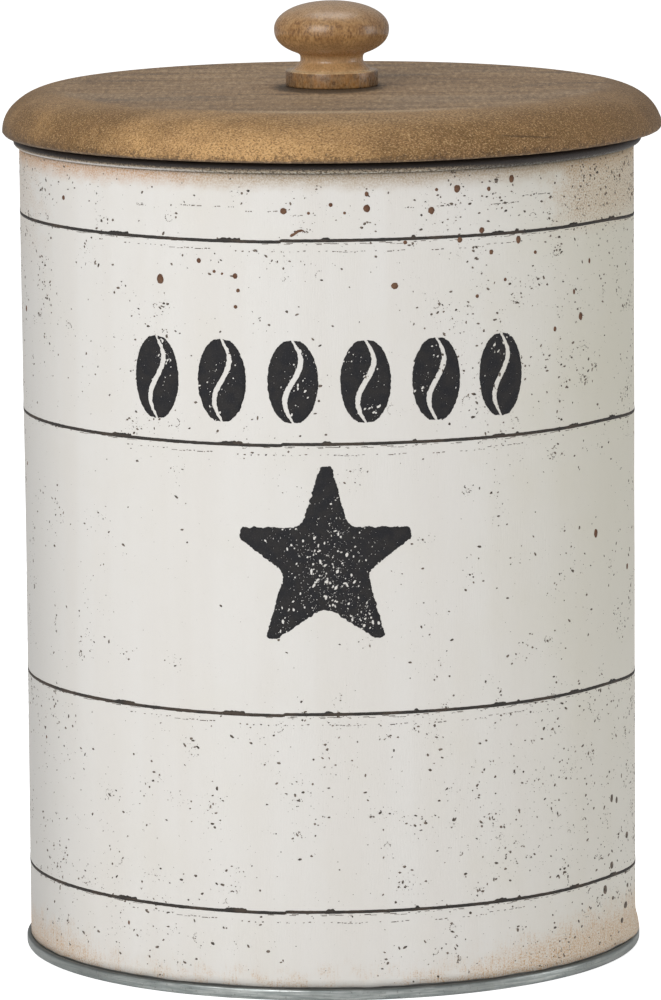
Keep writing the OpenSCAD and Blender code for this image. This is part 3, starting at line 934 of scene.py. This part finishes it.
# Drops of rust on the front: degrees from the front, height, radius in millimetres, and how drawn out
RUST_DROPS = ((-32, 177, 0.95, 1.35), (-24, 182, 0.55, 1.1), (-21, 179.5, 0.4, 1), (-19.5, 179, 0.3, 1),
              (-17, 178.5, 0.6, 1.1), (-16.5, 175, 0.45, 1.1), (-17, 171, 0.45, 1), (-8, 194.5, 0.8, 1),
              (0.5, 196, 0.5, 1), (7, 198.5, 0.5, 1.2), (7, 195, 0.85, 1.1), (12, 176, 0.85, 1),
              (14, 186.5, 0.5, 1), (19, 194, 0.8, 1.1), (20, 199, 0.4, 1), (24, 199, 0.8, 1.2),
              (24.5, 186.5, 0.65, 1.1), (28, 172.5, 0.45, 1), (29, 188.5, 0.7, 1.1),
              (30.5, 198.5, 0.5, 1.1), (31, 183, 0.55, 1.1), (34, 176, 0.4, 1), (35.5, 200.5, 0.7, 1.4),
              (37, 185.5, 0.65, 1.5), (41, 182, 0.45, 1), (46, 162.5, 0.5, 1.2), (51.5, 171, 0.4, 1.6),
              (56.5, 178, 0.4, 1.6), (-3.5, 194, 0.35, 1), (3, 194, 0.35, 1), (-41, 16, 0.28, 2))
# A curved scratch of rust above the top line: points round it, in millimetres on the wall
RUST_STROKE = ((-9.3, 188.4), (-8.8, 188.2), (-8.0, 188.7), (-7.2, 189.3), (-6.3, 189.6), (-5.2, 189.3),
               (-6.3, 190.1), (-7.4, 189.9), (-8.3, 189.2), (-9.0, 188.9))
SMALL_DROPS = 40  # more of them, at random round the sides and the back


def make_rust(material):
    """Rust drops and a curved stroke, in one mesh."""
    draw = random.Random(23)
    outlines = [list(RUST_STROKE)]
    for angle, height, radius, long in RUST_DROPS:
        outlines.append(drop(draw, angle * DEGREE, height, radius, long))
    for _ in range(SMALL_DROPS):
        angle = draw.uniform(50, 310)
        angle = angle - 360 if angle > 176 else angle
        height = 200 - 150 * draw.random() ** 1.8
        radius = 0.25 + 0.6 * draw.random() ** 2
        outlines.append(drop(draw, angle * DEGREE, height, radius, draw.uniform(1.0, 1.6)))
    spot_mesh("rust_drops", outlines, material, 0.07 * MM)


def drop(draw, x, y, radius, long):
    """A nearly round drop, drawn out upwards by long."""
    sides = 14
    turn = draw.uniform(0, TURN)
    out = []
    for k in range(sides):
        a = turn + TURN * k / sides
        reach = radius * draw.uniform(0.9, 1.08)
        out.append((x + reach * math.cos(a), y + reach * long * math.sin(a)))
    return out


def broken_row(draw, start, end, height, longest, gap, thick):
    """A row of dashes round the tin, in short lengths that follow the wall. Start and end are in degrees."""
    outlines = []
    x = start * DEGREE
    while x < end * DEGREE:
        dash = draw.uniform(0.15, longest) * draw.random() + 0.15
        piece = min(dash, 1.6)
        for i in range(max(1, round(dash / piece))):
            half = thick * draw.uniform(0.4, 1.2) / 2
            left, right = x + i * piece, x + (i + 1) * piece
            y = height - sag(left / DEGREE) + draw.uniform(-0.14, 0.14)
            low = [(left, y - half), (right, y - half * 0.8)]
            outlines.append(low + [(right, y + half), (left, y + half * 0.7)])
        x += dash + draw.uniform(0.1, gap)
        if draw.random() < 0.12:
            x += draw.uniform(1.0, 4.0)
    return outlines


def sag(degrees):
    """How far a printed line drops where the sheet turns away on the right, in millimetres."""
    return 1.6 * step(degrees, 58, 90) * step(degrees, 150, 110)


def fleck_angle(draw):
    """An angle round the tin where flecks gather: more of them on the right of the front."""
    return draw.uniform(18, 84) if draw.random() < 0.16 else draw.uniform(-176, 176)


# Where flecks gather, in bands of height: from, to and share
FLECK_BANDS = ((4, 22, 0.11), (22, 71, 0.44), (71, 137, 0.20), (137, 187, 0.36), (187, 202.5, 0.17))
# Dirty patches: from and to in degrees, from and to in height, how many flecks and their largest radius
FLECK_PATCHES = ((48, 86, 189, 203, 160, 0.22), (50, 84, 189, 202, 40, 0.36), (-76, -52, 5, 30, 40, 0.3),
                 (-80, -60, 30, 200, 25, 0.3), (20, 62, 4, 12, 50, 0.22), (-50, 40, 196, 203, 60, 0.25))
# Broken rows of dashes above the top line: from and to in degrees, and height
UPPER_ROWS = ((-27.5, -16.5, 195.4), (-15, -9.5, 194.4), (-6.3, -2.4, 193.4), (-6.2, -3.1, 197.6),
              (14, 15.5, 195), (20, 23.8, 195), (31, 37, 194.7), (38, 45, 196.2), (-37, -34, 194.8),
              (-37, -34.5, 195.2))
# Single larger spots: degrees, height, radius and how drawn out
SPOTS = ((62, 19, 1, 1.15), (73, 12.3, 1.5, 0.6), (65, 24.5, 0.95, 1), (70.5, 9, 1, 0.7),
         (74, 30, 1.3, 0.65), (74.5, 17, 0.9, 0.6), (73, 21, 0.9, 0.8), (65.5, 16, 0.6, 0.8),
         (65, 41.5, 0.8, 1.3), (67.5, 40.5, 0.7, 1.2), (26, 20, 0.35, 1), (-12, 12, 0.5, 0.7),
         (-26, 9, 0.35, 0.7))
CLUSTERS, LONE_FLECKS = 720, 1900  # for each unit of a band's share
BACK_FROM = 80 * DEGREE  # flecks beyond this, to either side, are in the back's mesh


def make_flecks(material):
    """Flecks of stray ink in loose clusters, broken rows under each line, and thin ghosts of the lines."""
    draw = random.Random(37)
    outlines = [drop(draw, angle * DEGREE, height, radius, long) for angle, height, radius, long in SPOTS]
    for low, high, share in FLECK_BANDS:
        for _ in range(round(CLUSTERS * share)):
            x, y = fleck_angle(draw) * DEGREE, draw.uniform(low, high)
            wide, tall = draw.uniform(0.7, 3.6), draw.uniform(0.8, 3.4)
            for _ in range(draw.randint(4, 16)):
                place = (draw.gauss(x, wide), min(203, max(4, draw.gauss(y, tall))))
                if abs(place[0]) < 175 * DEGREE:
                    outlines.append(fleck(draw, *place))
            if draw.random() < 0.16 and abs(x) < 172 * DEGREE:
                outlines += scribble(draw, x, min(200, max(6, y)))
        for _ in range(round(LONE_FLECKS * share)):
            outlines.append(fleck(draw, fleck_angle(draw) * DEGREE, draw.uniform(low, high)))
    for start, end, low, high, count, largest in FLECK_PATCHES:
        for _ in range(count):
            outlines.append(fleck(draw, draw.uniform(start, end) * DEGREE, draw.uniform(low, high), largest))
    for start, end, height in UPPER_ROWS:
        outlines += broken_row(draw, start, end, height, 1.2, 0.6, 0.27)
    for height in LINE_HEIGHTS:
        draw = random.Random(41)  # every line has the same wear
        for start, end, drop_by, longest, gap, thick in LINE_GHOSTS:
            outlines += broken_row(draw, start, end, height - drop_by, longest, gap, thick)
    for side, at_back in (("front", False), ("back", True)):
        kept = [o for o in outlines if (abs(o[0][0]) >= BACK_FROM) == at_back]
        spot_mesh(f"ink_flecks_{side}", kept, material, 0.045 * MM)


def fleck(draw, x, y, largest=0.31):
    """A stray fleck, mostly a small one, drawn out along the rows or any other way."""
    radius = 0.05 + (largest - 0.05) * draw.random() ** 4
    lean = draw.gauss(0, 0.35) if draw.random() < 0.4 else draw.uniform(0, math.pi)
    return blob(draw, x, y, radius, draw.uniform(1.0, 2.2), lean)


def scribble(draw, x, y):
    """A short curl of small flecks."""
    bend, turn, swing = draw.uniform(0.4, 1.3), draw.uniform(0, TURN), draw.uniform(0.25, 0.5)
    flecks = []
    for k in range(draw.randint(4, 8)):
        a = turn + swing * k / bend
        place = (x + bend * math.cos(a), y + bend * math.sin(a))
        radius, long = draw.uniform(0.06, 0.15), draw.uniform(1.0, 1.8)
        flecks.append(blob(draw, *place, radius, long, draw.uniform(0, 3)))
    return flecks


# Broken rows below each line: from and to in degrees, how far below, longest dash, longest gap and thickness
LINE_GHOSTS = ((-72, 74, 0.62, 5, 3.5, 0.16), (-12, 44, 0.85, 3, 5, 0.14), (-30, -22, 2.3, 2.2, 0.7, 0.2),
               (-17, -7, 2.7, 0.6, 1.6, 0.28), (-7, 3, 2.6, 0.7, 2.4, 0.26), (1, 14, 2.7, 1.6, 0.9, 0.2),
               (19, 30, 2.8, 1.4, 2, 0.2), (30, 38, 2.2, 1.6, 1.4, 0.2), (-40, -31, 1.9, 0.5, 2.6, 0.26),
               (96, 172, 2.6, 1.2, 6, 0.2), (-172, -96, 2.6, 1.2, 6, 0.2), (96, 172, 0.6, 4, 9, 0.16),
               (-172, -96, 0.6, 4, 9, 0.16))


def make_line(number, height, material):
    """One printed line round the tin, a little uneven, with the same worn blocks on every line."""
    name, lift = f"ink_line_{number}", 0.05 * MM

    def section(angle):
        degrees = math.degrees(angle)
        x, y, _ = polar(WALL_R / MM, angle, 0)
        jump = -0.3 * step(degrees, -60, -10) * step(degrees, -8.5, -8.9)
        jump += 0.1 * ripple(x, y, number, 30, 12)
        jump -= sag(degrees)
        low = height - LINE_WIDTH / 2 + jump + 0.06 * ripple(x, y, number, 1.2, 13)
        high = height + LINE_WIDTH / 2 + jump + 0.06 * ripple(x, y, number, 1.0, 14)
        for start, end, rise in LINE_BLOCKS:
            ramp = 0.25 * (end - start)
            within = step(degrees, start - 0.1, start + ramp) * step(degrees, end + 0.1, end - 0.1)
            high += within * (0.8 * rise + 0.24 * ripple(x, y, number, 0.45, 15))
        corners = ((low, INK_SINK), (low, lift), (high, lift), (high, INK_SINK))
        return [on_wall(angle * WALL_R, z * MM, level) for z, level in corners]

    link(name, wrap(name, 1800, 4.2 * MM / WALL_R, section), material, "tin")


# ---- the lid


def board_profile():
    """Section of the board: flat to 69 mm, then one large rounding down to a small lip."""
    flat = 69 * MM
    lip_in, lip_h = 0.5 * MM, 0.6 * MM
    top = PANEL_HI.z
    bottom = PANEL_LO.z
    outline = densify([(0.0, bottom), (PANEL_R - lip_in, bottom)], 3 * MM)
    outline += arc((flat, bottom + lip_h), (PANEL_R - flat, top - bottom - lip_h), 0, 90, 36)
    outline += densify([(flat, top), (0.0, top)], 2 * MM)[1:]
    return outline


def make_board(material):
    """The weathered board, a little warped, with a worn lower lip that is lifted at the right."""
    def shape(r, angle, z):
        x, y, _ = polar(r, angle, z)
        high = step(z, PANEL_LO.z + 1 * MM, PANEL_HI.z)
        edge = step(r, 0.8 * PANEL_R, PANEL_R)
        warp = 0.12 * ripple(x, y, 0, 0.06, 40) * high * MM
        wear = edge * (0.22 * ripple(x, y, z, 0.03, 41) + 0.12 * ripple(x, y, z, 0.008, 42)) * MM
        worn_lip = step(r, 78 * MM, PANEL_R) * step(z, PANEL_LO.z + 4 * MM, PANEL_LO.z + 1 * MM)
        lifted = 0.7 * MM * worn_lip * max(0.0, math.sin(angle)) ** 2
        px, py, pz = polar(r + wear - 0.1 * MM * edge, angle, z + warp + lifted)
        return px + LID_SHIFT, py, pz

    mesh = lathe("lid_board", board_profile(), 480, shape)
    piece = link("lid_board", mesh, material, "lid")
    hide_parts("lid_panel")


def plug_profile():
    """The plug under the board, with its gasket groove and softened lower edge."""
    r, low, top = PLUG_HI.x, PLUG_LO.z, PLUG_HI.z
    edge, nick = 1.2 * MM, 0.15 * MM
    groove = r - 2.5 * MM
    groove_lo, groove_hi = GASKET_LO.z - 0.35 * MM, GASKET_HI.z + 0.35 * MM
    bore, sink = 6 * MM, 4 * MM  # counterbore of the screw's head
    outline = [(0.0, low + sink), (bore, low + sink)]
    outline += arc((bore + nick, low + nick), (nick, nick), 180, 270, 3)
    outline += densify([(bore + nick, low), (r - edge - 0.3 * MM, low)], 3 * MM)[1:]
    outline += arc((r - edge, low + edge), (edge, edge), -90, 0, 8)
    outline += arc((r - nick, groove_lo - nick), (nick, nick), 0, 90, 3)
    outline += [(groove, groove_lo), (groove, groove_hi)]
    outline += arc((r - nick, groove_hi + nick), (nick, nick), -90, 0, 3)
    outline += [(r, top - 0.02 * MM), (0.0, top - 0.02 * MM)]
    return outline


def make_plug(material):
    """The plain wooden plug."""
    def shape(r, angle, z):
        x, y, _ = polar(r, angle, z)
        uneven = 0.05 * ripple(x, y, z, 0.01, 44) * MM * step(r, 60 * MM, 73 * MM)
        return polar(r - 0.05 * MM * step(r, 60 * MM, 73 * MM) + uneven, angle, z)

    mesh = lathe("lid_plug_wood", plug_profile(), 320, shape)
    piece = link("lid_plug_wood", mesh, material, "lid")
    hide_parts("lid_plug")


def gasket_profile():
    """A band in the groove with two soft lips that lean against the tin's mouth."""
    low, high = GASKET_LO.z, GASKET_HI.z
    inner, root, reach = PLUG_HI.x - 2.15 * MM, GASKET_HI.x - 1.3 * MM, GASKET_HI.x
    tall = high - low
    lip_r, lip_h = reach - root, 0.22 * tall
    outline = [(inner, low + 0.2 * MM), (inner + 0.2 * MM, low)]
    for middle in (low + 0.27 * tall, high - 0.27 * tall):
        outline += arc((root, middle), (lip_r, lip_h), -90, 90, 14)
    outline += [(inner + 0.2 * MM, high), (inner, high - 0.2 * MM)]
    return outline


def make_gasket(material):
    """The silicone ring, a little slack."""
    def shape(r, angle, z):
        x, y, _ = polar(1.0, angle, 0)
        slack = 0.05 * ripple(x, y, 0, 0.2, 46) * MM * step(r, 74 * MM, 76 * MM)
        return polar(r + slack - 0.05 * MM * step(r, 74 * MM, 76 * MM), angle, z)

    mesh = lathe("gasket_ring", gasket_profile(), 320, shape)
    piece = link("gasket_ring", mesh, material, "seal")
    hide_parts("lid_gasket")


def knob_profile():
    """The knob's outline from its foot up: ring, flare, narrow neck, flattened ball."""
    ball_r, ball_h = KNOB_HI.x, 14.1 * MM
    foot = KNOB_LO.z
    ball_z = KNOB_HI.z - ball_h / 2
    ring_r, ring_h = 11.6 * MM, 4.1 * MM
    neck_r, flare_r, meet = 7.9 * MM, 9.75 * MM, 1.1 * MM
    outline = [(0.0, foot)] + densify([(4 * MM, foot), (ring_r - 0.4 * MM, foot)], 2 * MM)
    outline += arc((ring_r - 0.4 * MM, foot + 0.4 * MM), (0.4 * MM, 0.4 * MM), -90, 0, 5)
    outline += arc((ring_r - 0.7 * MM, foot + ring_h - 0.4 * MM), (0.7 * MM, 0.4 * MM), 0, 90, 7)
    for i in range(15):
        up = ring_h + (6.7 * MM - ring_h) * i / 14
        outline.append((flare_r - (flare_r - neck_r) * step(up, 3.8 * MM, 6.6 * MM), foot + up))
    outline += arc((neck_r + meet, foot + 7.2 * MM), (meet, meet), 180, 120, 7)
    start = -math.acos((outline[-1][0] + 0.08 * MM) / ball_r)
    for i in range(49):
        t = start + (math.pi / 2 - start) * i / 48
        full = 2.25 if t < 0 else 2.12  # how full the ball is: 2 would be an ellipse
        up = math.copysign(abs(math.sin(t)) ** (2 / full), t)
        out = ball_r * max(0.0, math.cos(t)) ** (2 / full) if i < 48 else 0.0
        outline.append((out, ball_z + ball_h / 2 * up))
    return outline


def make_knob(material):
    """The turned knob, shifted with the board."""
    def shape(r, angle, z):
        x, y, _ = polar(r, angle, z)
        uneven = 0.08 * ripple(x, y, z, 0.012, 50) * MM * step(r, 0, 5 * MM)
        px, py, pz = polar(r + uneven, angle, z)
        return px + LID_SHIFT, py, pz

    mesh = lathe("lid_knob", knob_profile(), 220, shape)
    piece = link("lid_knob", mesh, material, "lid")
    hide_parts("knob")


# ---- camera, floor and light


def make_camera():
    """A long lens from a little above, square to the front."""
    distance, elevation, roll = 1.9207, math.radians(8.342), math.radians(-0.439)
    aim = Vector((0.0001, 0, 0.1127))
    back = Vector((0, -math.cos(elevation), math.sin(elevation)))
    camera = bpy.data.objects.new("camera", bpy.data.cameras.new("camera"))
    bpy.context.scene.collection.objects.link(camera)
    camera.data.lens = 273.25
    camera.data.sensor_width = 36
    camera.data.clip_end = 50
    camera.location = aim + back * distance
    camera.rotation_mode = "QUATERNION"
    camera.rotation_quaternion = (-back).to_track_quat("-Z", "Y") @ Quaternion((0, 0, 1), roll)
    bpy.context.scene.camera = camera


def area_light(name, azimuth, elevation, distance, size, power):
    """A soft lamp aimed at the tin's middle."""
    data = bpy.data.lights.new(name, "AREA")
    data.shape = "RECTANGLE"
    data.size, data.size_y = size
    data.energy = power
    lamp = bpy.data.objects.new(name, data)
    bpy.context.scene.collection.objects.link(lamp)
    a, e = math.radians(azimuth), math.radians(elevation)
    back = Vector((math.sin(a) * math.cos(e), -math.cos(a) * math.cos(e), math.sin(e)))
    lamp.location = Vector((0, 0, 0.12)) + back * distance
    lamp.rotation_mode = "QUATERNION"
    lamp.rotation_quaternion = (-back).to_track_quat("-Z", "Y")


def seen_level(tree, lighting, seen, socket):
    """Sets a strength: one for the light it gives, and another for what the camera sees."""
    path = tree.nodes.new("ShaderNodeLightPath")
    level = tree.nodes.new("ShaderNodeMapRange")
    level.inputs["To Min"].default_value = lighting
    level.inputs["To Max"].default_value = seen
    tree.links.new(path.outputs["Is Camera Ray"], level.inputs["Value"])
    tree.links.new(level.outputs[0], socket)


def make_floor():
    """A white floor that is clear from below."""
    half = 12.0
    mesh = bpy.data.meshes.new("floor")
    corners = [(-half, -half, 0), (half, -half, 0), (half, half, 0), (-half, half, 0)]
    mesh.from_pydata(corners, [], [(0, 1, 2, 3)])
    floor = bpy.data.objects.new("floor", mesh)
    bpy.context.scene.collection.objects.link(floor)
    material = bpy.data.materials.new("floor_white")
    material.use_nodes = True
    tree = material.node_tree
    surface = tree.nodes["Principled BSDF"]
    surface.inputs["Base Color"].default_value = (0.9, 0.9, 0.9, 1)
    surface.inputs["Roughness"].default_value = 0.9
    surface.inputs["Emission Color"].default_value = (1, 1, 1, 1)
    seen_level(tree, 0.10, 0.80, surface.inputs["Emission Strength"])
    clear = tree.nodes.new("ShaderNodeBsdfTransparent")
    either = tree.nodes.new("ShaderNodeMixShader")
    facing = tree.nodes.new("ShaderNodeNewGeometry").outputs["Backfacing"]
    for output, socket in zip((facing, surface.outputs[0], clear.outputs[0]), either.inputs):
        tree.links.new(output, socket)
    tree.links.new(either.outputs[0], tree.nodes["Material Output"].inputs[0])
    mesh.materials.append(material)


def make_studio():
    """The white floor, a white surround and three soft lamps."""
    scene = bpy.context.scene
    scene.view_settings.view_transform = "Standard"
    make_floor()
    world = bpy.data.worlds.new("surround")
    scene.world = world
    world.use_nodes = True
    sky = world.node_tree.nodes["Background"]
    sky.inputs[0].default_value = (1, 1, 1, 1)
    seen_level(world.node_tree, 0.35, 1.0, sky.inputs[1])
    area_light("key", -28, 27, 1.6, (0.9, 1.1), 12.4)
    area_light("side", 84, 10, 1.5, (0.35, 0.9), 3.6)
    area_light("top", 0, 104, 1.5, (0.9, 0.7), 5)


# ---- build

make_camera()
make_studio()

make_shell(tinplate())
make_sleeve(sleeve_paper())
make_base(zinc())
make_marks(printed_ink())
lines_ink = line_ink()
for number, height in enumerate(LINE_HEIGHTS, 1):
    make_line(number, height, lines_ink)
make_rust(rust_spot())
make_flecks(fleck_ink())
make_board(board_wood())
make_plug(plain_wood())
make_gasket(silicone())
make_knob(knob_wood())

for node, name in (("knob_screw", "screw_steel"), ("knob_washer", "washer_steel")):
    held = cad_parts[node].data
    held.materials.clear()
    held.materials.append(plated_steel(name))
